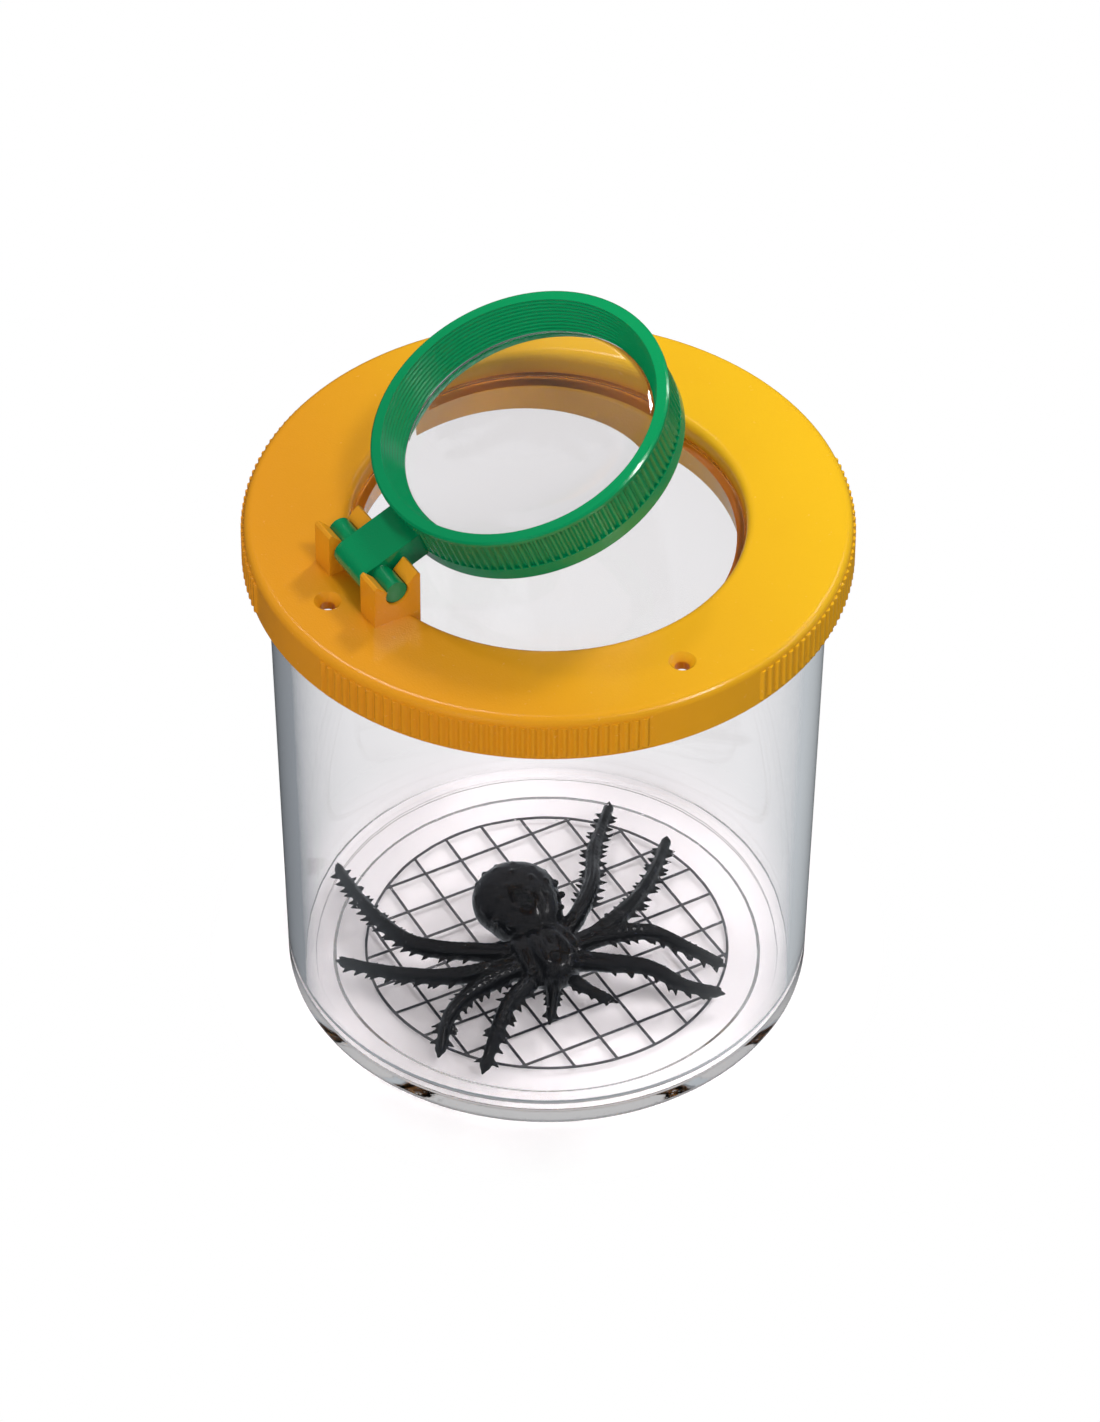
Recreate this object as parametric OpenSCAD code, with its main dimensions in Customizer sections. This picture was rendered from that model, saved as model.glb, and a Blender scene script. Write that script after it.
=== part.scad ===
// Bug catcher jar: clear jar with a measuring grid, push-on lid with a large lens,
// a second lens on a flip-up frame, and a loose rubber toy spider.
// Millimetres, +Z up. Origin: on the jar's axis at the height of the table.
// The hinge of the flip-up frame is on the -X side, its pin lies along Y.

/* [Jar] */
// Height of the clear jar, from the table to its rim
jar_h = 67; // [52:0.5:110]
// Inward taper of the jar's body from the lid to the table
jar_taper = 1.3; // [0:0.05:2.4]
// Thickness of the jar's side wall
jar_wall = 2; // [1.4:0.1:2.6]
// Thickness of the jar's floor panel
floor_t = 1.4; // [1.2:0.1:4]
// Height of the foot ring below the floor panel
foot_h = 0.7; // [0.6:0.1:3]
// Width of the foot ring
foot_w = 5.6; // [4.4:0.1:8]
// Radius of the jar's lower outside edge
base_edge = 1.1; // [0.5:0.1:2]
// Radius between the jar's wall and its floor
corner_r = 1; // [0.6:0.05:1.8]
// Height of each step round the edge of the floor
floor_step = 0.4; // [0.2:0.05:0.7]

/* [Measuring grid] */
// Side of one measuring cell
cell = 5; // [4:0.5:6]
// Number of lines each way
line_count = 8; // [4:2:8]
// Distance from the foot ring to the circle round the grid
grid_margin = 3.7; // [2:0.1:6]
// Angle of the grid and the toy on it to the hinge's pin
grid_turn = -2.2; // [-45:0.1:45]
// Width of a printed line
line_w = 0.3; // [0.25:0.05:0.8]
// Thickness of the printed layer
line_t = 0.15; // [0.1:0.05:0.3]

/* [Lid] */
// Outside diameter of the lid over its grip ribs
lid_d = 71; // [70:0.1:80]
// Thickness of the lid's top plate
lid_top_t = 2; // [1.6:0.1:3]
// Thickness of the skirt's wall between its grip ribs
skirt_wall = 2.8; // [1.8:0.1:3.2]
// Height of the lid's skirt, top plate included
skirt_h = 5.8; // [4.6:0.1:12]
// Radial clearance between lid and jar neck
lid_fit = 0.1; // [0.05:0.01:0.2]
// Inward step from the jar's body to its neck
neck_step = 0.3; // [0.2:0.05:0.6]
// Rounding of the lid's upper edge
lid_edge = 1; // [0.5:0.1:1.4]
// Height of a grip rib on the skirt
rib_h = 0.3; // [0.15:0.05:0.5]
// Height of the plain band under the grip ribs
rib_low = 0.5; // [0.2:0.1:1]
// Number of grip ribs in each of the four groups
ribs_in_group = 35; // [20:1:36]
// Angle from one grip rib to the next
rib_pitch = 1.9; // [1.7:0.05:2.1]

/* [Air holes] */
// Outward offset of the air holes from the middle of the lid's plate
air_hole_offset = 0.9; // [-1:0.05:1.2]
// Diameter of an air hole's countersink at the top
air_sink_d = 3.2; // [2.4:0.1:3.6]
// Diameter of the hole that goes through
air_hole_d = 1.7; // [1:0.1:2]
// Depth of the countersink
air_sink_depth = 0.9; // [0.5:0.1:1.3]

/* [Lid lens] */
// Diameter of the hole that holds the large lens
lens_hole_d = 45.8; // [44:0.1:47]
// Rounding of the hole's upper edge
hole_edge = 1; // [0.4:0.1:1.6]
// Depth of the lens seat below the lid's top
seat_depth = 4.2; // [3.6:0.1:5]
// Width of the ledge under the large lens
ledge_w = 1.3; // [0.8:0.1:2]
// Thickness of that ledge
ledge_t = 0.8; // [0.6:0.1:1.2]
// Wall of the collar round the large lens
collar_wall = 1.5; // [1.2:0.1:2]
// Edge thickness of the large lens
lid_lens_edge = 2; // [1.5:0.1:2.4]
// Height of the large lens's dome
lid_lens_sag = 2.2; // [1.2:0.1:2.4]
// Gap round a lens in its seat
lens_gap = 0.1; // [0.05:0.01:0.2]

/* [Flip-up lens frame] */
// Opening angle of the flip-up frame, 0 when it lies over the lid
open_angle = 21.3; // [0:0.1:140]
// Outward offset of the hinge pin from the edge of the large lens's hole
hinge_offset = 1.1; // [0.4:0.05:2]
// Height of the hinge pin above the lid's top
hinge_h = 3.8; // [3.4:0.1:4.8]
// Outside diameter of the ring's upper lip
ring_d = 35.7; // [33:0.1:36]
// Length of the arm between the pin's axis and the ring
arm_l = 5.4; // [5:0.1:9]
// Width of the upper lip
lip_w = 1.4; // [1:0.05:1.8]
// Width of the funnel from the lip to the lens opening
funnel_w = 1.5; // [1.2:0.1:3]
// Height of the ring above the pin's axis
ring_up = 4.7; // [4.4:0.1:8]
// Depth of the ring below the pin's axis
ring_down = 2.4; // [1.8:0.05:2.8]
// Height of the funnel
funnel_h = 4; // [3:0.1:4.6]
// Number of fine steps on the funnel
funnel_steps = 9; // [5:1:12]
// Height of the lip above the ribbed band
lip_h = 0.9; // [0.6:0.1:1.4]
// Height of the plain band below the ribs
plain_band_h = 1.7; // [1:0.1:2.4]
// Inward step from the lip to the bottom of the band's ribs
band_step = 0.55; // [0.4:0.05:0.8]
// Number of ribs round the ring
band_ribs = 115; // [60:1:124]
// Height of a rib on the ring
band_rib_h = 0.35; // [0.2:0.05:0.4]

/* [Hinge] */
// Width of the frame's arm
arm_w = 6.1; // [5:0.1:7]
// Thickness of the frame's arm
arm_t = 3.5; // [2.8:0.1:3.7]
// Length of the arm behind the pin's axis
arm_tail = 2.7; // [2:0.1:2.8]
// Diameter of the trunnion pins
pin_d = 2.8; // [2:0.1:3]
// Length from one pin's end to the other's
pin_span = 12.9; // [10:0.1:13.4]
// Radial clearance of a pin in its socket
pin_fit = 0.08; // [0.04:0.01:0.1]
// Thickness of one hinge clip along the pin
clip_t = 3.2; // [2:0.1:4]
// Width of a hinge clip across the pin
clip_w = 6; // [5:0.1:6.2]
// Height of the clip's tips above the pin's axis
clip_up = 2; // [1.8:0.1:2.8]
// Side gap between the arm and a clip
clip_gap = 0.5; // [0.1:0.05:0.7]
// Width of the slot that the pin snaps through
slot_w = 2.6; // [1.6:0.1:2.7]
// Width of the slot's flared mouth
mouth_w = 5.1; // [3:0.1:5.3]
// Chamfer on the clip's outer tips
tip_chamfer = 0.3; // [0.1:0.05:0.4]

/* [Flip-up lens] */
// Edge thickness of the small lens
flip_lens_edge = 1.4; // [1:0.1:2]
// Height of each dome of the small lens
flip_lens_sag = 1.1; // [0.6:0.1:1.4]
// Inward reach of the bead that holds the small lens
bead = 0.25; // [0.15:0.05:0.4]

/* [Spider] */
// Distance between the tips of opposite legs
spider_span = 49; // [30:0.5:50]
// Diameter of a leg at the body
leg_root_d = 2.3; // [1.6:0.1:3]
// Diameter of a leg at its tip
leg_tip_d = 1.1; // [0.8:0.1:1.4]
// Length of a thorn on a leg
thorn_l = 0.8; // [0.4:0.1:1.2]
// Diameter of a thorn at its foot
thorn_d = 0.7; // [0.5:0.1:0.9]
// Width of the spider's abdomen
abdomen_w = 10.2; // [7:0.1:12]
// Length of the spider's abdomen
abdomen_l = 12.4; // [8:0.1:14]
// Height of the spider's abdomen
abdomen_h = 8.8; // [6:0.1:9]

/* [Hidden] */
round_fn = 96;
limb_fn = 10;
thorn_fn = 5;
overlap = 0.02;
full_turn = 360;
half_share = 0.5;

// Jar
lid_r = lid_d / 2;
plain_r = lid_r - rib_h;
bore_r = plain_r - skirt_wall;
neck_r = bore_r - lid_fit;
body_r = neck_r + neck_step;
base_r = body_r - jar_taper;
floor_top = foot_h + floor_t;
shoulder_gap_share = 0.15;
shoulder_z = jar_h - (skirt_h - lid_top_t) - shoulder_gap_share * (skirt_h - lid_top_t);
inner_top_r = neck_r - jar_wall;
inner_base_r = base_r - jar_wall;
floor_flat_r = inner_base_r - corner_r - floor_step;
recess_r = base_r - foot_w;
grid_r = recess_r - grid_margin;
rim_round_share = 0.2;
rim_round = jar_wall * rim_round_share;
arc_points = 6;

// Lid
lid_top_z = jar_h + lid_top_t;
skirt_z = lid_top_z - skirt_h;
hole_r = lens_hole_d / 2;
seat_z = lid_top_z - seat_depth;
ledge_r = hole_r - ledge_w;
ledge_z = seat_z - ledge_t;
collar_r = hole_r + collar_wall;
lead_share = 0.25;
lead_in = lead_share * lid_edge;
group_count = 4;
rib_root_share = 0.6;
rib_root = rib_root_share * (plain_r - bore_r);
rib_top_share = 0.1;
rib_top_z = lid_top_z - lid_edge - rib_top_share * lid_edge;
group_arc_points = 12;
air_hole_r = (collar_r + bore_r) / 2 + air_hole_offset;
air_hole_angles = [180, 270, 90];

// Lenses
lid_lens_r = hole_r - lens_gap;
lid_lens_ball = sphere_r(lid_lens_r, lid_lens_sag);
ring_r = ring_d / 2;
lip_inner_r = ring_r - lip_w;
funnel_r = lip_inner_r - funnel_w;
lens_bore_r = funnel_r + bead + lens_gap;
flip_lens_r = lens_bore_r - lens_gap;
flip_lens_ball = sphere_r(flip_lens_r, flip_lens_sag);
flip_lens_top = ring_up - funnel_h;
bead_top = flip_lens_top - flip_lens_edge - lens_gap;
bead_h_share = 2.5;
bead_h = bead_h_share * bead;

// Flip-up frame
hinge_r = hole_r + hinge_offset;
ring_reach = ring_r + arm_l;
hinge_z = lid_top_z + hinge_h;
valley_r = ring_r - band_step;
band_r = valley_r + band_rib_h;
rib_low_z = plain_band_h - ring_down;
rib_high_z = ring_up - lip_h;
lip_edge_share = 0.25;
lip_edge = lip_edge_share * lip_h;
groove_share = 0.68;
arm_r = arm_t / 2;
pin_r = pin_d / 2;
socket_r = pin_r + pin_fit;
clip_in = arm_w / 2 + clip_gap;
clip_drop_share = 0.8;
clip_floor = -hinge_h - half_share * lid_top_t;
clip_lip_z = -hinge_h - clip_drop_share * lid_top_t;
clip_step_share = 0.3;
flare_share = 0.65;
flare = flare_share * clip_up;

// Spider: its place is a share of the floor's flat, its shape a share of its span
spider_x_share = -0.053;
spider_y_share = -0.111;
spider_x = spider_x_share * 2 * floor_flat_r;
spider_y = spider_y_share * 2 * floor_flat_r;
leg_paths_shares = [
    [[-0.05, 0.045, 0.076], [-0.15, 0.085, 0.088], [-0.265, 0.185, 0.084],
     [-0.29, 0.355, 0.05], [-0.28, 0.54, 0.012]],
    [[-0.05, 0.015, 0.076], [-0.13, 0.012, 0.088], [-0.246, 0.045, 0.084],
     [-0.342, 0.15, 0.05], [-0.428, 0.278, 0.012]],
    [[-0.05, -0.01, 0.074], [-0.13, -0.02, 0.088], [-0.235, -0.032, 0.084],
     [-0.3, -0.055, 0.055], [-0.365, -0.124, 0.012]],
    [[-0.04, -0.035, 0.074], [-0.1, -0.075, 0.088], [-0.178, -0.115, 0.084],
     [-0.24, -0.17, 0.052], [-0.29, -0.215, 0.012]],
    [[0.045, 0.045, 0.076], [0.11, 0.07, 0.088], [0.206, 0.158, 0.088],
     [0.292, 0.3, 0.062], [0.414, 0.454, 0.03]],
    [[0.05, 0.01, 0.076], [0.12, 0, 0.088], [0.242, 0.042, 0.088],
     [0.36, 0.142, 0.062], [0.476, 0.28, 0.03]],
    [[0.05, -0.005, 0.074], [0.13, -0.02, 0.098], [0.245, -0.06, 0.098],
     [0.32, -0.12, 0.06], [0.392, -0.186, 0.012]],
    [[0.04, -0.035, 0.074], [0.09, -0.085, 0.088], [0.19, -0.158, 0.084],
     [0.262, -0.224, 0.05], [0.344, -0.26, 0.012]]];
palp_paths_shares = [
    [[-0.02, -0.06, 0.062], [-0.05, -0.112, 0.05], [-0.078, -0.152, 0.034]],
    [[0.012, -0.06, 0.062], [0.044, -0.128, 0.05], [0.08, -0.168, 0.034]]];
head_z_share = 0.078;
head_w_share = 0.155;
head_l_share = 0.2;
head_h_share = 0.105;
abdomen_gap_share = 0.92;
abdomen_lift_share = 0.08;
palp_d_share = 0.72;
thorns_per_piece = 3;
thorn_tip_share = 0.2;
thorn_sink_share = 0.35;
thorn_up_angle = 18;

function sphere_r(r, sag) = (r * r + sag * sag) / (2 * sag);
function arc(x, z, r, a0, a1) =
    [for (i = [0:arc_points]) let (a = a0 + (a1 - a0) * i / arc_points)
        [x + r * cos(a), z + r * sin(a)]];
function at(r, a) = [r * cos(a), r * sin(a)];
function rib_points(low, high, count, pitch, start, rise_share, flat_share) =
    [for (i = [0:count - 1], k = [0:3]) let (a = start + i * pitch)
        k == 0 ? at(low, a)
        : k == 1 ? at(high, a + rise_share * pitch)
        : k == 2 ? at(high, a + (rise_share + flat_share) * pitch)
        : at(low, a + (2 * rise_share + flat_share) * pitch)];

module revolve() {
    rotate_extrude($fn = round_fn) children();
}

// Clear cup with a neck inside the lid, a stepped floor and a foot ring
module jar() {
    color([0.85, 0.9, 0.93, 0.35]) revolve() polygon(concat(
        [[0, foot_h], [recess_r, foot_h], [recess_r + overlap, 0]],
        arc(base_r - base_edge, base_edge, base_edge, -90, 0),
        [[body_r, shoulder_z], [neck_r, shoulder_z + neck_step]],
        arc(neck_r - rim_round, jar_h - rim_round, rim_round, 0, 90),
        arc(inner_top_r + rim_round, jar_h - rim_round, rim_round, 90, 180),
        arc(inner_base_r - corner_r, floor_top + floor_step + corner_r, corner_r, 0, -90),
        [[floor_flat_r, floor_top + floor_step], [floor_flat_r, floor_top],
         [0, floor_top]]));
}

// Printed squares for measuring, on the underside of the floor panel
module measuring_grid() {
    color([0.08, 0.08, 0.09]) translate([0, 0, foot_h - line_t]) rotate(grid_turn)
        linear_extrude(line_t) union() {
            difference() {
                circle(r = grid_r, $fn = round_fn);
                circle(r = grid_r - line_w, $fn = round_fn);
            }
            intersection() {
                circle(r = grid_r - line_w / 2, $fn = round_fn);
                for (i = [0:line_count - 1], turn = [0, 90])
                    rotate(turn) translate([(i - (line_count - 1) / 2) * cell, 0])
                        square([line_w, 2 * grid_r], center = true);
            }
        }
}

module rib_group() {
    span = ribs_in_group * rib_pitch;
    linear_extrude(rib_top_z - skirt_z - rib_low) polygon(concat(
        rib_points(plain_r - overlap, lid_r, ribs_in_group, rib_pitch, -span / 2, 0.3, 0.22),
        [for (i = [0:group_arc_points])
            at(plain_r - rib_root, span / 2 - span * i / group_arc_points)]));
}

// One hinge clip: a block with a socket and a slot that the pin snaps through
module clip() {
    difference() {
        rotate([90, 0, 0]) linear_extrude(clip_t) polygon([
            [-clip_w / 2, clip_floor], [clip_step_share * clip_w / 2, clip_floor],
            [clip_step_share * clip_w / 2, clip_lip_z], [clip_w / 2, clip_lip_z],
            [clip_w / 2, clip_up - tip_chamfer], [clip_w / 2 - tip_chamfer, clip_up],
            [mouth_w / 2, clip_up], [slot_w / 2, clip_up - flare], [slot_w / 2, 0],
            [-slot_w / 2, 0], [-slot_w / 2, clip_up - flare], [-mouth_w / 2, clip_up],
            [tip_chamfer - clip_w / 2, clip_up], [-clip_w / 2, clip_up - tip_chamfer]]);
        rotate([90, 0, 0]) translate([0, 0, -overlap])
            cylinder(h = clip_t + 2 * overlap, r = socket_r, $fn = round_fn);
    }
}

// Push-on lid with its lens seat, air holes, hinge clips and four groups of ribs
module lid_ring() {
    color([0.97, 0.75, 0.14]) union() {
        difference() {
            revolve() polygon(concat(
                [[hole_r, seat_z], [ledge_r, seat_z],
                 [ledge_r, ledge_z], [collar_r, ledge_z], [collar_r, jar_h],
                 [bore_r, jar_h], [bore_r, skirt_z + lead_in], [bore_r + lead_in, skirt_z],
                 [plain_r, skirt_z]],
                arc(plain_r - lid_edge, lid_top_z - lid_edge, lid_edge, 0, 90),
                arc(hole_r + hole_edge, lid_top_z - hole_edge, hole_edge, 90, 180)));
            for (a = air_hole_angles) rotate(a) translate([air_hole_r, 0, 0]) {
                translate([0, 0, jar_h - overlap])
                    cylinder(h = lid_top_t + 2 * overlap, d = air_hole_d, $fn = round_fn);
                translate([0, 0, lid_top_z - air_sink_depth])
                    cylinder(h = air_sink_depth + overlap, d1 = air_hole_d, d2 = air_sink_d,
                             $fn = round_fn);
            }
        }
        for (k = [0:group_count - 1])
            rotate((k + half_share) * full_turn / group_count)
                translate([0, 0, skirt_z + rib_low]) rib_group();
        for (y = [-clip_in, clip_in + clip_t]) translate([-hinge_r, y, hinge_z]) clip();
    }
}

// Large lens, flat below and domed above
module lid_lens() {
    color([0.9, 0.95, 0.97, 0.4]) intersection() {
        translate([0, 0, seat_z])
            cylinder(h = lid_lens_edge + lid_lens_sag, r = lid_lens_r, $fn = round_fn);
        translate([0, 0, seat_z + lid_lens_edge + lid_lens_sag - lid_lens_ball])
            sphere(r = lid_lens_ball, $fn = 2 * round_fn);
    }
}

module in_frame() {
    translate([-hinge_r, 0, hinge_z]) rotate([0, -open_angle, 0]) children();
}

// Ring, arm and trunnion pins of the flip-up lens, one moulding
module lens_frame() {
    color([0.05, 0.6, 0.32]) in_frame() union() {
        translate([ring_reach, 0, 0]) revolve() polygon(concat(
            [[band_r, -ring_down], [band_r, rib_low_z], [valley_r, rib_low_z],
             [valley_r, rib_high_z], [ring_r, rib_high_z + lip_edge],
             [ring_r, ring_up - lip_edge], [ring_r - lip_edge, ring_up]],
            [for (i = [0:funnel_steps - 1], k = [0, 1])
                [lip_inner_r - funnel_w * i / funnel_steps,
                 ring_up - funnel_h * (i + k * groove_share) / funnel_steps]],
            [[funnel_r, flip_lens_top], [lens_bore_r, flip_lens_top],
             [lens_bore_r, bead_top], [lens_bore_r - bead, bead_top - bead_h / 2],
             [lens_bore_r, bead_top - bead_h], [lens_bore_r, -ring_down]]));
        translate([ring_reach, 0, rib_low_z - lip_edge])
            linear_extrude(rib_high_z - rib_low_z + 2 * lip_edge) difference() {
                polygon(rib_points(valley_r - overlap, band_r - 2 * overlap, band_ribs,
                                   full_turn / band_ribs, 0, 0.28, 0.24));
                circle(r = lip_inner_r, $fn = round_fn);
            }
        translate([arm_r - arm_tail, -arm_w / 2, -arm_r])
            cube([ring_reach - (lens_bore_r + valley_r) / 2 - arm_r + arm_tail, arm_w, arm_t]);
        translate([arm_r - arm_tail, arm_w / 2, 0]) rotate([90, 0, 0])
            cylinder(h = arm_w, r = arm_r, $fn = round_fn);
        translate([0, pin_span / 2, 0]) rotate([90, 0, 0])
            cylinder(h = pin_span, r = pin_r, $fn = round_fn);
    }
}

// Small lens, domed on both sides
module flip_lens() {
    color([0.9, 0.95, 0.97, 0.4]) in_frame()
        translate([ring_reach, 0, flip_lens_top - lens_gap - flip_lens_edge / 2])
        intersection() {
            cylinder(h = flip_lens_edge + 2 * flip_lens_sag, r = flip_lens_r, center = true,
                     $fn = round_fn);
            translate([0, 0, flip_lens_edge / 2 + flip_lens_sag - flip_lens_ball])
                sphere(r = flip_lens_ball, $fn = 2 * round_fn);
            translate([0, 0, flip_lens_ball - flip_lens_sag - flip_lens_edge / 2])
                sphere(r = flip_lens_ball, $fn = 2 * round_fn);
        }
}

// A limb through its points, with thorns to both sides and a little upwards
module limb(path, root_d, tip_d) {
    last = len(path) - 1;
    for (i = [0:last - 1]) {
        a = path[i] * spider_span;
        b = path[i + 1] * spider_span;
        d_a = root_d + (tip_d - root_d) * i / last;
        d_b = root_d + (tip_d - root_d) * (i + 1) / last;
        hull() {
            translate([a.x, a.y, max(a.z, d_a / 2)]) sphere(d = d_a, $fn = limb_fn);
            translate([b.x, b.y, max(b.z, d_b / 2)]) sphere(d = d_b, $fn = limb_fn);
        }
        if (i > 0)
            for (k = [0:thorns_per_piece - 1], side = [-90, 90]) {
                t = (k + half_share) / thorns_per_piece;
                p = a + (b - a) * t;
                d = d_a + (d_b - d_a) * t;
                translate([p.x, p.y, max(p.z, d / 2)])
                    rotate([0, 0, atan2(b.y - a.y, b.x - a.x) + side])
                    rotate([0, 90 - thorn_up_angle, 0])
                    translate([0, 0, d * thorn_sink_share])
                    cylinder(h = thorn_l + d * (half_share - thorn_sink_share),
                             d1 = thorn_d, d2 = thorn_d * thorn_tip_share, $fn = thorn_fn);
            }
    }
}

// Loose toy spider moulded in rubber
module spider() {
    color([0.06, 0.06, 0.07]) rotate(grid_turn) translate([spider_x, spider_y, floor_top])
    union() {
        for (path = leg_paths_shares) limb(path, leg_root_d, leg_tip_d);
        for (path = palp_paths_shares) limb(path, leg_root_d * palp_d_share, leg_tip_d);
        translate([0, 0, head_z_share * spider_span]) resize([head_w_share * spider_span,
            head_l_share * spider_span, head_h_share * spider_span])
            sphere(d = spider_span, $fn = 2 * limb_fn);
        translate([0, abdomen_gap_share * abdomen_l / 2
                   + head_l_share * spider_span / 2 * half_share,
                   abdomen_h * (half_share + abdomen_lift_share)])
            resize([abdomen_w, abdomen_l, abdomen_h])
            sphere(d = abdomen_l, $fn = 3 * limb_fn);
    }
}

jar();
measuring_grid();
lid_ring();
lid_lens();
lens_frame();
flip_lens();
spider();
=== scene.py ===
import math

import bmesh
import bpy
from mathutils import Matrix, Vector, noise


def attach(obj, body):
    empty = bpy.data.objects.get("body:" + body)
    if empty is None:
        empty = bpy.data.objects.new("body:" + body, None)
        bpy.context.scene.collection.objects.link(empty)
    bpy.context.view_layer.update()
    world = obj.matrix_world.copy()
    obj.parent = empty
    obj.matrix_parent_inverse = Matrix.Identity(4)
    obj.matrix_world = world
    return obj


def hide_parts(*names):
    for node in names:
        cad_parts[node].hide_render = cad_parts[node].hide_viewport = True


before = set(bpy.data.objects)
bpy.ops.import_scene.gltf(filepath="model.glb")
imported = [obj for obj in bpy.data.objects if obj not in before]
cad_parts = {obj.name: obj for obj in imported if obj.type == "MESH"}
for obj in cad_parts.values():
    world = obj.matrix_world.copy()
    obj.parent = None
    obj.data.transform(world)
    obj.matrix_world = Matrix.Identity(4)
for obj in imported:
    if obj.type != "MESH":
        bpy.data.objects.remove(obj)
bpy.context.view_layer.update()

MM = 0.001
ROUND = 2 * math.pi

# Sizes in millimetres, as the part's source has them
LID_TOP = 69.0
LID_R = 35.5
SEAT_Z = 64.8
LENS_EDGE = 2.0
LENS_SAG = 2.2
LENS_R = 22.8
LEDGE_R = 21.6
FOOT = 0.7
FLOOR_TOP = 2.1
FLOOR_STEP = 0.4
JAR_TOP = 67
SHOULDER_Z = 62.6
NECK_STEP = 0.3
BASE_R = 31.3
BODY_R = 32.6
NECK_R = 32.3
MOUTH_R = 30.3
INNER_R = 29.3
FLOOR_R = 27.9
GRID_TURN = math.radians(-2.2)
HINGE = Vector((-24.0, 0, 72.8))
OPEN = math.radians(21.3)
RING_REACH = 23.25
SMALL_LENS_R = 15.2
SMALL_LENS_SAG = 1.1

# Sizes in millimetres that only the scene has: the slanting side of the recess under the
# jar, the sleeve under the large lens, which is sunk into the ledge, the gap between the
# jar's floor and the ink below it, and the small lens's crowns above and below its pins
RECESS_R = 25.6
RECESS_DRAFT = 0.15
COLLAR_LOW = 60.8
COLLAR_WALL = 0.9
COLLAR_SUNK = 0.4
INK_GAP = 0.02
SMALL_LENS_TOP = 1.7
SMALL_LENS_LOW = -1.9

# Points this near each other, in millimetres, are one point
SAME_POINT = 0.005

# Steps of a rounded corner of an outline and of a lens's rim, of a lens's dome from its
# middle to its rim, and of a full turn
CORNER_STEPS = 5
RIM_STEPS = 3
DOME_STEPS = 24
SMALL_DOME_STEPS = 18
JAR_TURN_STEPS = 240
LENS_TURN_STEPS = 192
SMALL_TURN_STEPS = 160


# --- Camera and lamps -----------------------------------------------------------------

# The picture's right, back and up, turned onto the object's axes
TURN = Matrix.Rotation(math.radians(-31.2), 4, "Z")

# The camera: pixels of the photograph, and places in lid radii from the lid's top
PHOTO_HEIGHT = 1422
FOCAL_PIXELS = 7392
SENSOR = 36
DOWN = math.radians(42.768)
ROLL = math.radians(0.25)
RIGHT_OF_AXIS = 0.008
BELOW_TOP = 0.6405
DISTANCE = 24

# Lamps: the way to each one, its distance and size in metres, its watts, and whether it
# shows in gloss and whether it lights surfaces
LAMP_AIM = Vector((0, 0, 0.03))
LAMPS = (
    ("key_lamp", (0.30, -0.45, 1.0), 0.8, 0.12, 1.9, False, True),
    ("high_lamp", (0.45, 0.72, 1.0), 0.8, 0.12, 2.4, False, True),
    ("front_lamp", (-0.5, -1.0, 0.35), 0.8, 0.3, 2.1, False, True),
    ("spark_lamp", (0.58, -0.32, 0.74), 0.8, 0.035, 1.4, True, False),
    ("back_lamp", (-0.172, 0.462, 0.87), 0.8, 0.055, 0.6, True, True),
    ("right_lamp", (0.62, 0.46, 0.60), 0.8, 0.045, 0.5, True, False),
    ("edge_lamp", (0.90, 0.07, 0.44), 0.8, 0.05, 0.8, True, False),
    ("side_lamp", (-0.9, 0.3, 0.7), 0.9, 0.5, 0.6, False, True))


def set_camera():
    """A long lens looking down at the lid, with the hinge on the left."""
    ahead = Vector((0, math.cos(DOWN), -math.sin(DOWN)))
    above = Vector((0, math.sin(DOWN), math.cos(DOWN)))
    place = (Vector((RIGHT_OF_AXIS, 0, 0)) - BELOW_TOP * above - DISTANCE * ahead) * LID_R
    camera = bpy.data.objects.new("camera", bpy.data.cameras.new("camera"))
    bpy.context.scene.collection.objects.link(camera)
    camera.data.sensor_width = SENSOR
    camera.data.sensor_fit = "AUTO"
    camera.data.lens = FOCAL_PIXELS / PHOTO_HEIGHT * SENSOR
    camera.data.clip_start, camera.data.clip_end = 0.05, 20
    look = (TURN @ ahead).to_track_quat("-Z", "Y").to_matrix().to_4x4()
    roll = Matrix.Rotation(ROLL, 4, "Z")
    at = TURN @ (place * MM) + Vector((0, 0, LID_TOP * MM))
    camera.matrix_world = Matrix.Translation(at) @ look @ roll
    bpy.context.scene.camera = camera


def hang_lamp(name, towards, distance, size, watts, glossy, diffuse):
    """A square soft lamp; towards is right, back and up as the camera sees the object."""
    data = bpy.data.lights.new(name, "AREA")
    data.shape = "SQUARE"
    data.size = size
    data.energy = watts
    made = bpy.data.objects.new(name, data)
    bpy.context.scene.collection.objects.link(made)
    out = (TURN @ Vector(towards)).normalized()
    aim = out.to_track_quat("Z", "Y").to_matrix().to_4x4()
    made.matrix_world = Matrix.Translation(LAMP_AIM + out * distance) @ aim
    made.visible_camera = False
    made.visible_transmission = False
    made.visible_glossy = glossy
    made.visible_diffuse = diffuse


# --- Shader maths ---------------------------------------------------------------------

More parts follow.
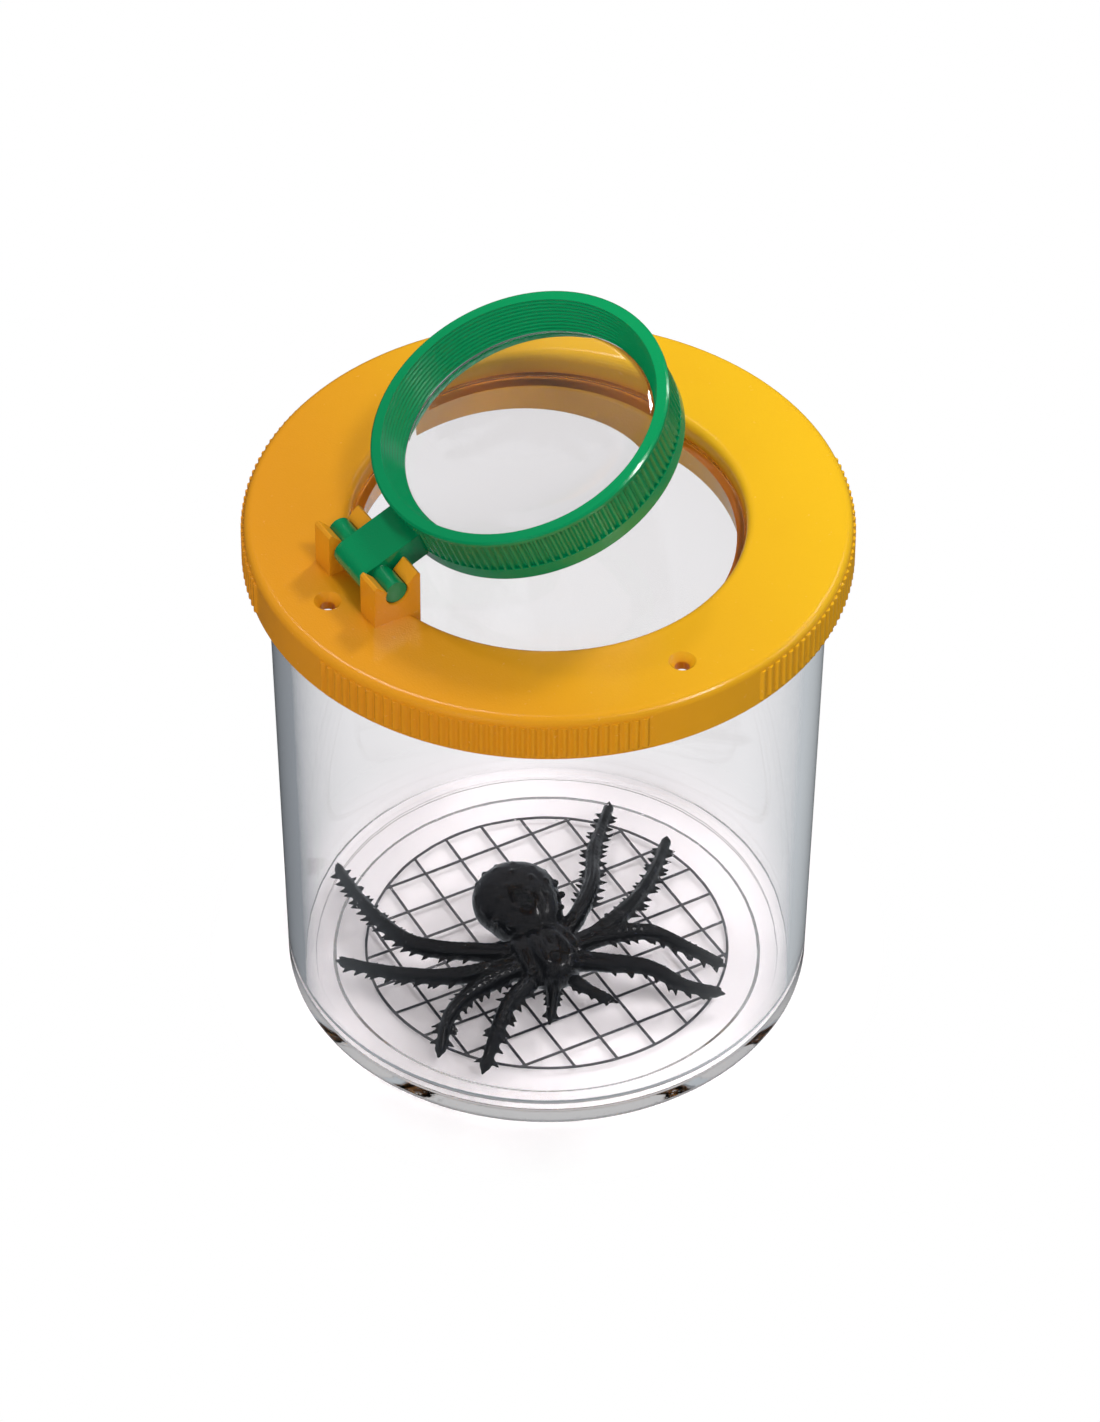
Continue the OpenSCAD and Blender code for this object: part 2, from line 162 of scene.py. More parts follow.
class Wire:
    """A socket in a node tree. Sums, products and the like of wires add Math nodes."""

    def __init__(self, tree, socket=None):
        self.tree = tree
        self.socket = socket

    def node(self, kind, settings=None, sockets=None, out=0):
        """Adds a node, its settings first and then its sockets, and gives one output."""
        made = self.tree.nodes.new("ShaderNode" + kind)
        for name, value in (settings or {}).items():
            setattr(made, name, value)
        for name, value in (sockets or {}).items():
            if isinstance(value, Wire):
                self.tree.links.new(value.socket, made.inputs[name])
            else:
                made.inputs[name].default_value = value
        return Wire(self.tree, made.outputs[out])

    def maths(self, operation, *values):
        return self.node("Math", {"operation": operation}, dict(enumerate(values)))

    def __add__(self, other):
        return self.maths("ADD", self, other)

    def __radd__(self, other):
        return self.maths("ADD", other, self)

    def __sub__(self, other):
        return self.maths("SUBTRACT", self, other)

    def __rsub__(self, other):
        return self.maths("SUBTRACT", other, self)

    def __mul__(self, other):
        return self.maths("MULTIPLY", self, other)

    def __rmul__(self, other):
        return self.maths("MULTIPLY", other, self)

    def __lt__(self, other):
        return self.maths("LESS_THAN", self, other)

    def __gt__(self, other):
        return self.maths("GREATER_THAN", self, other)

    def either(self, other):
        return self.maths("MAXIMUM", self, other)

    def ramp(self, low, high, start=0.0, end=1.0):
        """start below low, end above high, and a smooth change between them."""
        return self.node("MapRange", {"interpolation_type": "SMOOTHSTEP", "clamp": True},
                         {"Value": self, "From Min": low, "From Max": high,
                          "To Min": start, "To Max": end})

    def mixed(self, first, second):
        """A colour from first, where this wire is 0, to second, where it is 1."""
        first = first if isinstance(first, Wire) else (*first, 1)
        second = second if isinstance(second, Wire) else (*second, 1)
        return self.node("Mix", {"data_type": "RGBA"}, {0: self, 6: first, 7: second}, 2)


def new_material(name):
    """An empty material, and a wire in its tree to add nodes with."""
    made = bpy.data.materials.new(name)
    made.use_nodes = True
    made.node_tree.nodes.clear()
    made.node_tree.nodes.new("ShaderNodeOutputMaterial")
    return made, Wire(made.node_tree)


def close_material(made, surface):
    """Links the finished surface to the material's output."""
    out = next(n for n in made.node_tree.nodes if n.type == "OUTPUT_MATERIAL")
    made.node_tree.links.new(surface.socket, out.inputs["Surface"])
    return made


def place_on(w):
    """Object coordinates in millimetres."""
    at = w.node("TexCoord", out="Object")
    return w.node("VectorMath", {"operation": "SCALE"}, {0: at, "Scale": 1000})


def reach_along(w, at, way):
    """How far at lies along a way given as the camera sees the object."""
    return w.node("VectorMath", {"operation": "DOT_PRODUCT"},
                  {0: at, 1: TURN @ Vector(way)}, "Value")


def grain(w, at, size, detail=2.0, rough=0.5):
    """Noise whose lumps are about size millimetres."""
    return w.node("TexNoise", None, {"Vector": at, "Scale": 1 / size, "Detail": detail,
                                     "Roughness": rough}, "Fac")


def bumped(w, height, depth, normal=None):
    """A Bump node: height from 0 to 1 stands depth millimetres high."""
    sockets = {"Height": height, "Distance": depth * MM, "Strength": 1.0}
    if normal is not None:
        sockets["Normal"] = normal
    return w.node("Bump", None, sockets, "Normal")


def ray(w, kind):
    """1 for rays of a kind such as Is Glossy Ray, or the count of such a depth."""
    return w.node("LightPath", out=kind)


def seen_rays(w):
    """1 for rays that the camera follows, straight or by glass and gloss, else 0."""
    straight = ray(w, "Is Camera Ray")
    gloss = ray(w, "Is Glossy Ray")
    through = ray(w, "Is Transmission Ray")
    early = ray(w, "Diffuse Depth") < 0.5
    return straight.either(gloss.either(through)) * early


def turned_rays(w):
    """1 for rays that were thrown back inside the plastic or off its face, else 0."""
    return ray(w, "Glossy Depth") > 0.5


# --- Finishes -------------------------------------------------------------------------

CLEAR_IOR = 1.5


def clear_finish(name, tint, shade, waves):
    """Clear moulded plastic: see-through for lamps, with faint flow waves and specks."""
    made, w = new_material(name)
    at = place_on(w)
    flow = grain(w, at, 9.0)
    specks = grain(w, at, 0.5, 1.0).ramp(0.72, 0.8)
    rough = 0.004 + specks * 0.12
    glass = w.node("BsdfPrincipled", None, {
        "Base Color": (*tint, 1), "Roughness": rough, "IOR": CLEAR_IOR,
        "Transmission Weight": 1.0, "Normal": bumped(w, flow, waves)})
    open_air = w.node("BsdfTransparent", None, {"Color": (*shade, 1)})
    shadow = ray(w, "Is Shadow Ray")
    return close_material(made, w.node("MixShader", None,
                                       {0: shadow, 1: glass, 2: open_air}))


def shell_finish(name, light, painted_shade_colour, far, rough, pore):
    """Opaque glossy moulded plastic: painted shade in corners and on sides, painted light
    at the right.
    """
    made, w = new_material(name)
    at = place_on(w)
    # Painted shade: corners that ambient occlusion finds enclosed, and sides facing away
    # from the top, take the deeper colour
    open_share = w.node("AmbientOcclusion", {"samples": 8}, {"Distance": 3 * MM}, "AO")
    corner = 1 - open_share.ramp(0.15, 0.75)
    upward = w.node("SeparateXYZ", None, {0: w.node("NewGeometry", out="Normal")}, "Z")
    side = upward.ramp(0.1, 0.75, 1.0, 0.0)
    cloud = grain(w, at, 12.0, 3.0).ramp(0.45, 0.8)
    # Share of the deeper colour: painted shade in corners and on sides, and a faint random
    # cloud of the same tone
    shade = corner.either(side * 0.3).either(cloud * 0.1)
    # Painted light: the colour turns lighter and yellower towards the right, where the
    # light falls
    across = reach_along(w, at, (0.9, 0.45, 0)).ramp(-30, 38)
    colour = shade.mixed(across.mixed(light, far), painted_shade_colour)
    skin = grain(w, at, 0.22, 2.0, 0.6)
    waves = grain(w, at, 3.5, 1.0)
    scuffs = grain(w, at, 0.9, 3.0, 0.7).ramp(0.6, 0.75)
    soft = w.node("Bevel", {"samples": 4}, {"Radius": 0.12 * MM}, "Normal")
    normal = bumped(w, skin, pore, bumped(w, waves, 0.05, soft))
    gloss = rough + scuffs * 0.1 + (skin - 0.5) * 0.06
    return close_material(made, w.node("BsdfPrincipled", None, {
        "Base Color": colour, "Roughness": gloss, "Coat Weight": 0.15,
        "Coat Roughness": 0.12, "IOR": 1.48, "Normal": normal}))


def ink_finish():
    """Black printing ink, a little worn."""
    made, w = new_material("grid ink")
    at = place_on(w)
    thin = grain(w, at, 0.35).ramp(0.5, 0.75)
    colour = thin.mixed((0.02, 0.022, 0.03), (0.06, 0.063, 0.075))
    return close_material(made, w.node("BsdfPrincipled", None, {
        "Base Color": colour, "Roughness": 0.45 + thin * 0.2,
        "Normal": bumped(w, thin, 0.01)}))


def rubber_finish():
    """Soft black rubber with a wet gloss and fine mould marks."""
    made, w = new_material("toy rubber")
    at = place_on(w)
    pits = grain(w, at, 0.3, 3.0, 0.6)
    dust = grain(w, at, 1.3, 4.0, 0.7).ramp(0.62, 0.8)
    colour = dust.mixed((0.0012, 0.0016, 0.003), (0.008, 0.009, 0.012))
    return close_material(made, w.node("BsdfPrincipled", None, {
        "Base Color": colour, "Roughness": 0.12 + dust * 0.12 + (pits - 0.5) * 0.04,
        "Coat Weight": 0.1, "Coat Roughness": 0.08, "IOR": 1.36,
        "Normal": bumped(w, pits, 0.015)}))


# --- Mesh helpers ---------------------------------------------------------------------

def round_off(bm, vert, size, steps):
    """Rounds an outline's corner, starting size millimetres from it."""
    bmesh.ops.bevel(bm, geom=[vert], offset=size * MM, segments=steps, profile=0.5,
                    affect="VERTICES", material=-1)


def loop_of(bm, corners, closed):
    """A wire outline through (radius, height, rounding) corners."""
    verts = [bm.verts.new((r * MM, 0, z * MM)) for r, z, _ in corners]
    pairs = list(zip(verts, verts[1:]))
    if closed:
        pairs.append((verts[-1], verts[0]))
    for pair in pairs:
        bm.edges.new(pair)
    for vert, (_, _, size) in zip(verts, corners):
        if size:
            round_off(bm, vert, size, CORNER_STEPS)


def dome_arc(bm, top, edge_r, sag, steps, side=1):
    """An arc from the axis to the rim of a lens, spun from one point round its ball."""
    ball = (edge_r ** 2 + sag ** 2) / (2 * sag)
    start = bm.verts.new((0, 0, top * MM))
    angle = math.asin(edge_r / ball)
    last = bmesh.ops.spin(bm, geom=[start], cent=(0, 0, (top - side * ball) * MM),
                          axis=(0, 1, 0), angle=side * angle, steps=steps)["geom_last"]
    return next(g for g in last if isinstance(g, bmesh.types.BMVert))


def spun(bm, steps):
    """Spins everything in bm once round the Z axis and closes it, faces outwards."""
    bmesh.ops.spin(bm, geom=bm.verts[:] + bm.edges[:], cent=(0, 0, 0), axis=(0, 0, 1),
                   angle=ROUND, steps=steps, use_merge=True)
    bmesh.ops.remove_doubles(bm, verts=bm.verts[:], dist=SAME_POINT * MM)
    bmesh.ops.recalc_face_normals(bm, faces=bm.faces[:])


def piece(name, bm, material, body, node=None, matrix=None,
          smooth=math.radians(35)):
    """Makes bm an object with its place in its mesh, and says what it rides on."""
    if matrix is not None:
        bmesh.ops.transform(bm, matrix=matrix, verts=bm.verts[:])
    mesh = bpy.data.meshes.new(name)
    bm.to_mesh(mesh)
    bm.free()
    for face in mesh.polygons:
        face.use_smooth = True
    if smooth is not None:
        mesh.set_sharp_from_angle(angle=smooth)
    mesh.materials.append(material)
    made = bpy.data.objects.new(name, mesh)
    bpy.context.scene.collection.objects.link(made)
    if smooth is not None:
        true = made.modifiers.new("true faces", "WEIGHTED_NORMAL")
        true.mode = "FACE_AREA"
        true.weight = 100
        true.keep_sharp = True
    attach(made, body)
    if node:
        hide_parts(node)


# --- Jar, lenses and collar -----------------------------------------------------------

def make_jar(material):
    """Clear cup: foot ring, stepped floor, tapered wall and a neck for the lid."""
    bm = bmesh.new()
    under = FOOT + INK_GAP
    step = FLOOR_TOP + FLOOR_STEP
    loop_of(bm, [(0, under, 0), (RECESS_R, under, 0.25),
                 (RECESS_R + RECESS_DRAFT, 0, 0.25), (BASE_R, 0, 1.1),
                 (BODY_R, SHOULDER_Z, 0.12), (NECK_R, SHOULDER_Z + NECK_STEP, 0.12),
                 (NECK_R, JAR_TOP, 0.45), (MOUTH_R, JAR_TOP, 0.45),
                 (INNER_R, step, 1.0), (FLOOR_R, step, 0.15),
                 (FLOOR_R, FLOOR_TOP, 0.12), (0, FLOOR_TOP, 0)], False)
    spun(bm, JAR_TURN_STEPS)
    piece("jar_shell", bm, material, "jar", "jar")


def make_lid_lens(material):
    """Large lens: a shallow dome over a flat underside, resting on the lid's ledge."""
    bm = bmesh.new()
    top = SEAT_Z + LENS_EDGE + LENS_SAG
    rim = dome_arc(bm, top, LENS_R, LENS_SAG, DOME_STEPS)
    low = bm.verts.new((LENS_R * MM, 0, SEAT_Z * MM))
    base = bm.verts.new((0, 0, SEAT_Z * MM))
    bm.edges.new((rim, low))
    bm.edges.new((low, base))
    for vert in (rim, low):
        round_off(bm, vert, 0.25, RIM_STEPS)
    spun(bm, LENS_TURN_STEPS)
    piece("lid_lens_dome", bm, material, "lid", "lid_lens")


def make_collar(material):
    """The sleeve that hangs from the ledge round the large lens, seen through it."""
    bm = bmesh.new()
    outer = LEDGE_R + COLLAR_WALL
    top = SEAT_Z - COLLAR_SUNK
    loop_of(bm, [(LEDGE_R, COLLAR_LOW, 0.25), (outer, COLLAR_LOW, 0.25),
                 (outer, top, 0.1), (LEDGE_R, top, 0.1)], True)
    spun(bm, SMALL_TURN_STEPS)
    piece("lens_collar", bm, material, "lid", None)


def make_flip_lens(material):
    """Small lens, domed on both sides, in the frame as it stands open on its pins."""
    bm = bmesh.new()
    dome = (SMALL_LENS_R, SMALL_LENS_SAG, SMALL_DOME_STEPS)
    upper = dome_arc(bm, SMALL_LENS_TOP, *dome)
    lower = dome_arc(bm, SMALL_LENS_LOW, *dome, side=-1)
    bm.edges.new((upper, lower))
    for vert in (upper, lower):
        round_off(bm, vert, 0.2, RIM_STEPS)
    spun(bm, SMALL_TURN_STEPS)
    at = (Matrix.Translation(HINGE * MM) @ Matrix.Rotation(-OPEN, 4, "Y")
          @ Matrix.Translation((RING_REACH * MM, 0, 0)))
    piece("flip_lens_dome", bm, material, "flip_up_lens", "flip_lens", at)


# --- Spider ---------------------------------------------------------------------------

SPIDER_SPAN = 49.0
SPIDER_PLACE = Vector((-3.4, -6.6, FLOOR_TOP))

# Shares of the spider's span, from its middle: the joints of each leg and feeler
LEGS = (
    ((-0.05, 0.045, 0.076), (-0.15, 0.085, 0.088), (-0.268, 0.185, 0.084),
     (-0.296, 0.36, 0.05), (-0.295, 0.578, 0.02)),
    ((-0.05, 0.015, 0.076), (-0.13, 0.012, 0.088), (-0.246, 0.045, 0.084),
     (-0.342, 0.148, 0.05), (-0.424, 0.269, 0.02)),
    ((-0.05, -0.01, 0.074), (-0.13, -0.02, 0.088), (-0.235, -0.032, 0.084),
     (-0.298, -0.051, 0.055), (-0.356, -0.115, 0.02)),
    ((-0.04, -0.035, 0.074), (-0.1, -0.075, 0.088), (-0.178, -0.115, 0.084),
     (-0.24, -0.17, 0.052), (-0.29, -0.215, 0.02)),
    ((0.045, 0.045, 0.076), (0.11, 0.07, 0.088), (0.206, 0.158, 0.088),
     (0.292, 0.292, 0.062), (0.418, 0.438, 0.03)),
    ((0.05, 0.01, 0.076), (0.12, 0, 0.088), (0.242, 0.042, 0.088),
     (0.362, 0.132, 0.062), (0.485, 0.259, 0.03)),
    ((0.05, -0.005, 0.074), (0.13, -0.02, 0.098), (0.245, -0.06, 0.098),
     (0.314, -0.113, 0.06), (0.38, -0.172, 0.02)),
    ((0.04, -0.035, 0.074), (0.09, -0.085, 0.088), (0.19, -0.158, 0.084),
     (0.25, -0.222, 0.05), (0.322, -0.258, 0.02)))
FEELERS = (
    ((-0.02, -0.06, 0.062), (-0.05, -0.112, 0.05), (-0.078, -0.152, 0.034)),
    ((0.012, -0.06, 0.062), (0.044, -0.128, 0.05), (0.08, -0.168, 0.034)))

# Width at the root and at the tip, length of the teeth and the way between them
LEG_SIZES = (2.6, 1.3, 0.95, 1.35)
FEELER_SIZES = (1.9, 1.15, 0.5, 0.95)
FEELER_SEED = 20

# A limb's rods and the ridge of small ones on top, stretched across, up and along it, its
# three soft swellings, and the ends of its length that have no teeth
ROD_STEP = 0.8
ROD_SHAPE = (1.0, 1.14, 1.25, 1)
ROD_SINK = 0.56
RIDGE_SHAPE = (0.7, 1, 3.2, 1)
RIDGE_WIDE = 0.2
SWELL_WAVE = 6 * math.pi
SWELL = 0.07
TAPER = 0.85
BARE_ROOT = 0.2
BARE_TIP = 0.96

# A tooth: its width, its lean towards the limb's tip and how far that varies, its droop,
# and the share of the limb's width that it starts inside
TOOTH_WIDE = 1.1
TOOTH_LEAN = 0.42
LEAN_VARIES = 0.2
LENGTH_VARIES = 0.25
TOOTH_DROOP = 0.12
TOOTH_ROOT = 0.22

# Eggs on each side of the head: middle from the head's, sizes, turn and fineness
HEAD = Vector((-0.4, 0.2, 0.078 * SPIDER_SPAN))
HEAD_SIDES = (
    ((1.25, -0.9, 2.5), (2.1, 6.6, 2.6), 0.12, 3),
    ((2.9, 0.3, 1.6), (1.9, 6.2, 2.2), 0.2, 3),
    ((0.75, -4.7, 1.9), (0.95, 0.95, 0.95), 0, 3),
    ((1.75, -4.4, 1.5), (0.7, 0.7, 0.7), 0, 3))

# Rows of knobs on the belly: how many, and shares of its width and height
BELLY = Vector((0.5, 8.2, 5.2))
KNOB_ROWS = ((16, 0.93, 0.36), (9, 0.62, 0.77), (4, 0.3, 0.95))
KNOB_FRONT = -4.6

# The part of the head's top that is smoothed down after the shapes are fused
CROWN = Vector((-0.4, -0.4, 4.0))
CROWN_R = 5.2
CROWN_LOW = 3.2
CROWN_ROUNDS = 14

# The fused skin: its cell, the share of its faces that is kept, how uneven it is made and
# how far it stays above the jar's floor
SKIN_CELL = 0.15
SKIN_SHARE = 0.7
UNEVEN = 0.08
FLOOR_CLEAR = 0.03


def curve_through(points, step):
    """Points about step apart on a smooth curve through the given ones."""
    points = [Vector(p) * SPIDER_SPAN for p in points]
    ends = [2 * points[0] - points[1]] + points + [2 * points[-1] - points[-2]]
    line = []
    for a, b, c, d in zip(ends, ends[1:], ends[2:], ends[3:]):
        count = max(2, round((c - b).length / step))
        for k in range(count):
            t = k / count
            line.append(0.5 * (2 * b + (c - a) * t + (2 * a - 5 * b + 4 * c - d) * t * t
                               + (3 * b - a - 3 * c + d) * t ** 3))
    return line + [points[-1]]


def spike(bm, foot, out, length, wide, thin=0.62):
    """A tooth: a flattened cone with a blunt tip, standing out from foot."""
    aim = out.to_track_quat("Z", "Y").to_matrix().to_4x4()
    bmesh.ops.create_cone(bm, cap_ends=True, segments=10, radius1=wide / 2,
                          radius2=wide * 0.1, depth=length,
                          matrix=Matrix.Translation(foot + out * length / 2) @ aim
                          @ Matrix.Diagonal((1, thin, 1, 1)))


def limb(bm, points, sizes, seed):
    """A leg: short tapered rods through points, a ridge on top, teeth on both sides."""
    root, tip, tooth, pitch = sizes
    line = curve_through(points, ROD_STEP)
    last = len(line) - 1
    run = 0.0
    teeth = 0
    for i, (a, b) in enumerate(zip(line, line[1:])):
        t = i / last
        swell = 0.5 + 0.5 * math.cos(SWELL_WAVE * t)
        wide = (root + (tip - root) * t ** TAPER) * (1 + SWELL * swell)
        ahead = (b - a).normalized()
        side = Vector((-ahead.y, ahead.x, 0)).normalized()
        up = ahead.cross(side)
        aim = Matrix((side, up, ahead)).transposed().to_4x4()
        mid = (a + b) / 2
        lift = max(0.0, wide * ROD_SINK - mid.z)
        mid = mid + Vector((0, 0, lift))
        bmesh.ops.create_icosphere(bm, subdivisions=2, radius=wide / 2,
                                   matrix=Matrix.Translation(mid) @ aim
                                   @ Matrix.Diagonal(ROD_SHAPE))
        if t > BARE_ROOT:
            top = mid + up * wide * 0.5
            bmesh.ops.create_icosphere(bm, subdivisions=1, radius=wide * RIDGE_WIDE,
                                       matrix=Matrix.Translation(top) @ aim
                                       @ Matrix.Diagonal(RIDGE_SHAPE))
        run += (b - a).length
        while run > pitch * (teeth + 1) and t < BARE_TIP:
            teeth += 1
            if t < BARE_ROOT:
                continue
            for turn in (-1, 1):
                wave = noise.noise(Vector((teeth * 0.73, seed * 3.1, turn)))
                lean = TOOTH_LEAN + LEAN_VARIES * wave
                out = (side * turn * math.cos(lean) + ahead * math.sin(lean)
                       - up * TOOTH_DROOP).normalized()
                foot = (mid + side * turn * wide * 0.28 - up * wide * 0.1
                        + ahead * 0.3 * wave)
                length = wide * TOOTH_ROOT + tooth * (1 + LENGTH_VARIES * wave)
                spike(bm, foot, out, length, TOOTH_WIDE)
    lift = max(0, tip * 0.5 - line[-1].z)
    spike(bm, line[-1] - ahead * 0.5 + Vector((0, 0, lift)), ahead, 1.5, tip * 1.05, 0.9)


def egg(bm, middle, sizes, turn=0.0, fine=4):
    """An icosphere stretched to sizes and turned about Z."""
    bmesh.ops.create_icosphere(bm, subdivisions=fine, radius=0.5,
                               matrix=Matrix.Translation(middle)
                               @ Matrix.Rotation(turn, 4, "Z")
                               @ Matrix.Diagonal((*sizes, 1)))


def spider_shapes(bm):
    """Limbs, head and belly as loose shapes that run into each other, in millimetres."""
    for seed, points in enumerate(LEGS):
        limb(bm, points, LEG_SIZES, seed)
    for seed, points in enumerate(FEELERS):
        limb(bm, points, FEELER_SIZES, seed + FEELER_SEED)
    egg(bm, HEAD, (8.2, 10.4, 6.4))
    egg(bm, HEAD + Vector((0, -2.6, 0.7)), (5.4, 6.0, 5.4))
    for side in (-1, 1):
        for (x, y, z), sizes, turn, fine in HEAD_SIDES:
            egg(bm, HEAD + Vector((x * side, y, z)), sizes, turn * side, fine)
    egg(bm, BELLY, (9.8, 12.8, 8.6))
    egg(bm, BELLY + Vector((0, 0.9, 0.1)), (10.7, 10.4, 8.3))
    for row, (count, reach, rise) in enumerate(KNOB_ROWS):
        for k in range(count):
            a = ROUND * (k + 0.5 * row) / count
            out = Vector((5.3 * reach * math.sin(a), 6.2 * reach * math.cos(a), 4.2 * rise))
            if out.y >= KNOB_FRONT:
                egg(bm, BELLY + out, (0.95, 0.95, 0.8), 0, 2)


def one_skin(bm):
    """Fuses the shapes in bm to one closed skin, which it gives as a new bmesh."""
    mesh = bpy.data.meshes.new("spider_shapes")
    bm.to_mesh(mesh)
    bm.free()
    lump = bpy.data.objects.new("spider_shapes", mesh)
    bpy.context.scene.collection.objects.link(lump)
    skin = lump.modifiers.new("skin", "REMESH")
    skin.mode = "VOXEL"
    skin.voxel_size = SKIN_CELL * MM
    relax = lump.modifiers.new("relax", "SMOOTH")
    relax.factor = 0.5
    relax.iterations = 3
    fewer = lump.modifiers.new("fewer", "DECIMATE")
    fewer.ratio = SKIN_SHARE
    held = bpy.context.evaluated_depsgraph_get()
    fused = bpy.data.meshes.new_from_object(lump.evaluated_get(held), depsgraph=held)
    bpy.data.objects.remove(lump)
    made = bmesh.new()
    made.from_mesh(fused)
    bpy.data.meshes.remove(fused)
    bpy.data.meshes.remove(mesh)
    made.normal_update()
    return made


def make_spider(material):
    """Rubber spider: its shapes are fused to one skin, smoothed on top and made uneven."""
    bm = bmesh.new()
    spider_shapes(bm)
    bmesh.ops.scale(bm, vec=(MM, MM, MM), verts=bm.verts[:])
    place = (Matrix.Rotation(GRID_TURN, 4, "Z")
             @ Matrix.Translation(SPIDER_PLACE * MM))
    bmesh.ops.transform(bm, matrix=place, verts=bm.verts[:])
    bm = one_skin(bm)
    middle = place @ (CROWN * MM)
    crown = [v for v in bm.verts if (v.co - middle).xy.length < CROWN_R * MM
             and v.co.z > (FLOOR_TOP + CROWN_LOW) * MM]
    for _ in range(CROWN_ROUNDS):
        bmesh.ops.smooth_vert(bm, verts=crown, factor=0.5, use_axis_x=True,
                              use_axis_y=True, use_axis_z=True)
    bm.normal_update()
    for vert in bm.verts:
        push = UNEVEN * noise.noise(vert.co / MM * 0.5)
        vert.co += vert.normal * push * MM
        vert.co.z = max(vert.co.z, (FLOOR_TOP + FLOOR_CLEAR) * MM)
    piece("spider_skin", bm, material, "spider", "spider", smooth=None)


# --- Table and room -------------------------------------------------------------------

# How bright the room is for light on surfaces, in gloss and through the plastic, and how
# much darker it is for rays that were turned inside the plastic
ROOM_LIGHT = 0.43
ROOM_IN_GLOSS = 0.08
ROOM_THROUGH = 0.92
ROOM_TURNED = 0.45

# Metres from the table's middle to its edge, and millimetres to where its shadow thins out
# and ends
TABLE_R = 3
SHADOW_FADES = 31.5
SHADOW_ENDS = 41


def lay_table():
    """White table top that keeps the shadows near the object."""
    bm = bmesh.new()
    bmesh.ops.create_circle(bm, cap_ends=True, segments=96, radius=TABLE_R,
                            matrix=Matrix.Translation((0, 0, -0.02 * MM)))
    mesh = bpy.data.meshes.new("table")
    bm.to_mesh(mesh)
    bm.free()
    table = bpy.data.objects.new("table", mesh)
    bpy.context.scene.collection.objects.link(table)
    made, w = new_material("table paper")
    at = place_on(w)
    seen = seen_rays(w)
    white = grain(w, at, 1.5, 3.0).mixed((0.84, 0.825, 0.83), (0.86, 0.845, 0.85))
    paper = w.node("BsdfDiffuse", None, {"Color": seen.mixed((0.55, 0.55, 0.55), white)})
    glow = w.node("Emission", None, {"Color": (1, 0.955, 0.965, 1), "Strength": 0.22})
    none = w.node("Emission", None, {"Color": (0, 0, 0, 1), "Strength": 0})
    lit = w.node("MixShader", None, {0: seen, 1: none, 2: glow})
    near = w.node("AddShader", None, {0: paper, 1: lit})
    # Past the shadow at its foot the object stands on plain white
    bare = w.node("Emission", None, {"Color": (1, 1, 1, 1), "Strength": 1.0})
    reach = w.node("VectorMath", {"operation": "LENGTH"}, {0: at}, "Value")
    past = reach.ramp(SHADOW_FADES, SHADOW_ENDS)
    whole = w.node("MixShader", None, {0: past * seen, 1: near, 2: bare})
    # Painted reflection: rays turned inside the plastic see the table as a dim glow, darker
    # on the left and in front
    painted_reflection_tone = reach_along(w, at, (1, 0, 0)).ramp(-45, 55).mixed(
        (0.33, 0.36, 0.39), (0.68, 0.73, 0.76))
    front = reach_along(w, at, (0, 1, 0)).ramp(-45, -15, 0.2, 1.0)
    dark = w.node("Emission", None, {"Color": front.mixed((0, 0, 0), painted_reflection_tone), "Strength": 1.0})
    early = ray(w, "Diffuse Depth") < 0.5
    inside = w.node("MixShader", None, {0: turned_rays(w) * early, 1: whole, 2: dark})
    # Gloss on the object's outside shows the table only faintly
    gloss = ray(w, "Is Glossy Ray") * (1 - ray(w, "Is Transmission Ray")) * early * 0.92
    mesh.materials.append(close_material(made, w.node("MixShader", None,
                                                      {0: gloss, 1: inside, 2: none})))


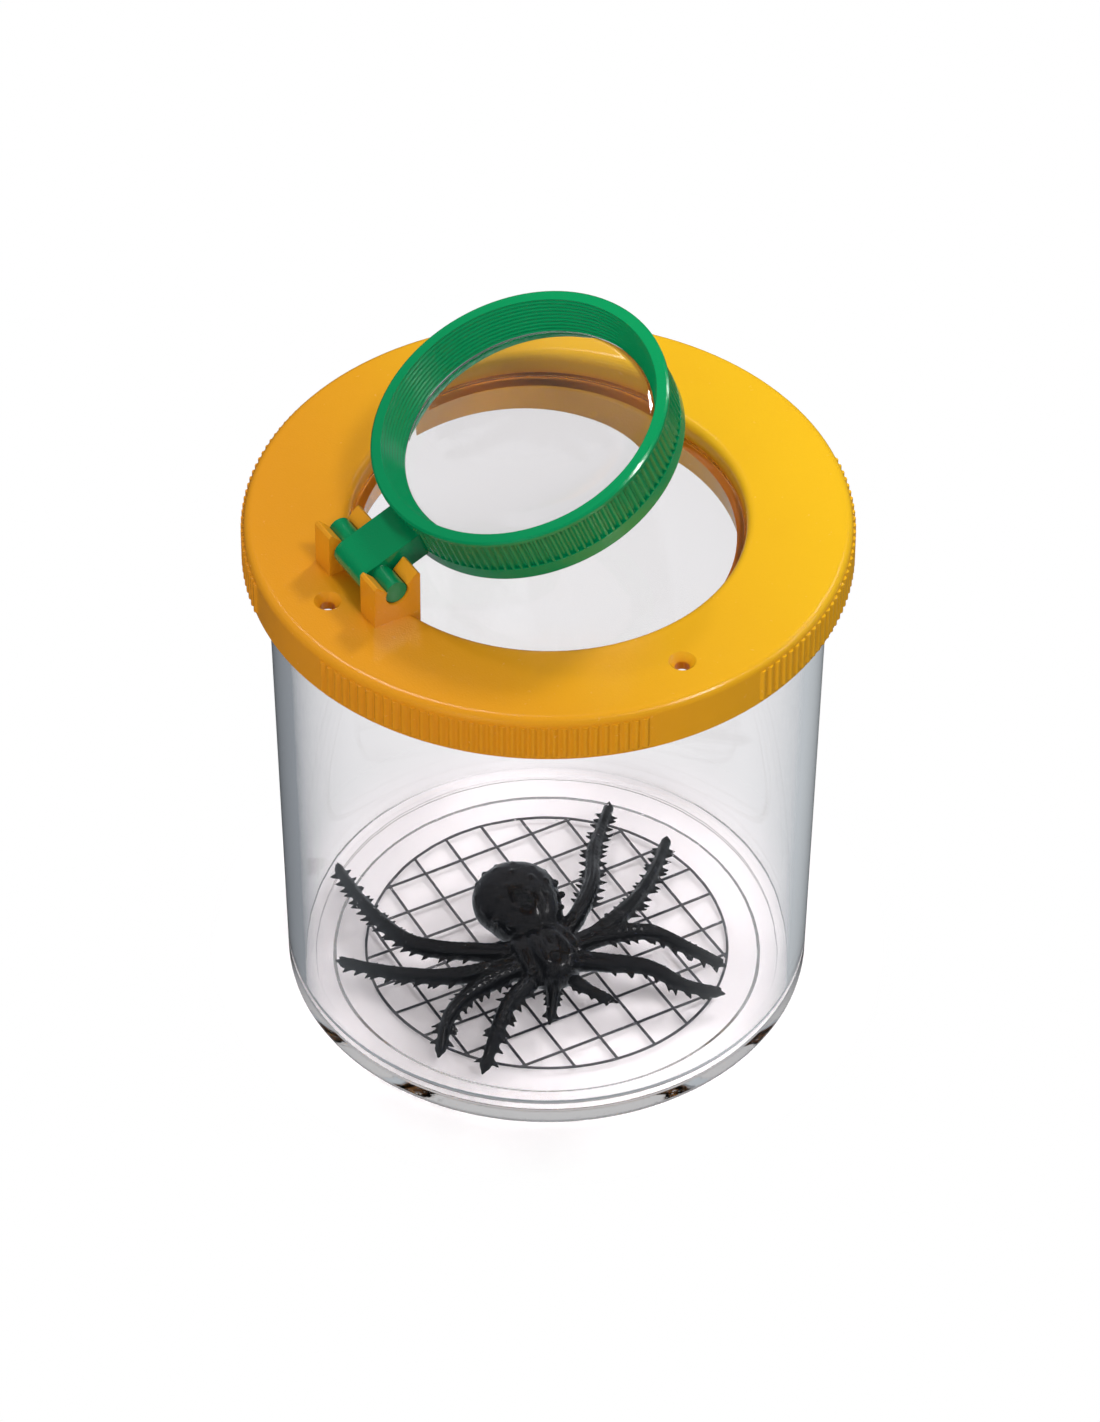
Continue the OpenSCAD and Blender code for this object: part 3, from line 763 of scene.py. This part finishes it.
def light_room():
    """A plain bright room that the camera sees as white."""
    world = bpy.data.worlds.new("room")
    bpy.context.scene.world = world
    world.use_nodes = True
    world.node_tree.nodes.clear()
    out = world.node_tree.nodes.new("ShaderNodeOutputWorld")
    w = Wire(world.node_tree)
    way = w.node("TexCoord", out="Generated")
    height = w.node("SeparateXYZ", None, {0: way}, "Z")
    room = height.ramp(-0.05, 0.75).mixed((0.46, 0.49, 0.53), (1, 1, 1))
    light = w.node("Background", None, {"Color": room, "Strength": ROOM_LIGHT})
    through = ray(w, "Is Transmission Ray")
    view = w.node("Background", None, {
        "Color": room, "Strength":
            ROOM_IN_GLOSS + through * (ROOM_THROUGH - turned_rays(w) * ROOM_TURNED)})
    white = w.node("Background", None, {"Color": (1, 1, 1, 1), "Strength": 1.0})
    dark = w.node("Background", None, {"Color": (0, 0, 0, 1), "Strength": 0.0})
    after = ray(w, "Diffuse Depth") > 0.5
    plain = w.node("MixShader", None, {0: through * after, 1: light, 2: dark})
    mixed = w.node("MixShader", None, {0: seen_rays(w), 1: plain, 2: view})
    final = w.node("MixShader", None, {0: ray(w, "Is Camera Ray"), 1: mixed, 2: white})
    world.node_tree.links.new(final.socket, out.inputs["Surface"])


# --- Scene ----------------------------------------------------------------------------

def dress(node, material):
    """Gives a node's own mesh a finish."""
    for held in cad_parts[node].material_slots:
        held.material = material


set_camera()
lay_table()
light_room()
for settings in LAMPS:
    hang_lamp(*settings)

clear = clear_finish("clear jar plastic", (0.99, 0.98, 0.987), (0.96, 0.953, 0.958), 0.006)
large_lens = clear_finish("large lens plastic", (0.935, 0.925, 0.93),
                          (0.93, 0.925, 0.925), 0.002)
small_lens = clear_finish("small lens plastic", (1.0, 0.995, 0.997),
                          (0.95, 0.945, 0.945), 0.002)
# Each plastic gives its plain colour, a deeper colour for painted shade in corners and on
# sides, and a lighter colour for painted light at the right
yellow = shell_finish("yellow plastic", (0.70, 0.285, 0.010), (0.74, 0.245, 0.009),
                      (0.91, 0.52, 0.009), 0.2, 0.025)
green = shell_finish("green plastic", (0.0, 0.215, 0.075), (0.0, 0.18, 0.068),
                     (0.0, 0.38, 0.115), 0.16, 0.02)

make_jar(clear)
make_lid_lens(large_lens)
make_collar(yellow)
make_flip_lens(small_lens)
make_spider(rubber_finish())
dress("measuring_grid", ink_finish())
dress("lid_ring", yellow)
dress("lens_frame", green)

bpy.context.scene.view_settings.view_transform = "Standard"
# Enough bounces for rays that run along inside the jar's wall
bpy.context.scene.cycles.max_bounces = 40
bpy.context.scene.cycles.glossy_bounces = 36
bpy.context.scene.cycles.transmission_bounces = 36
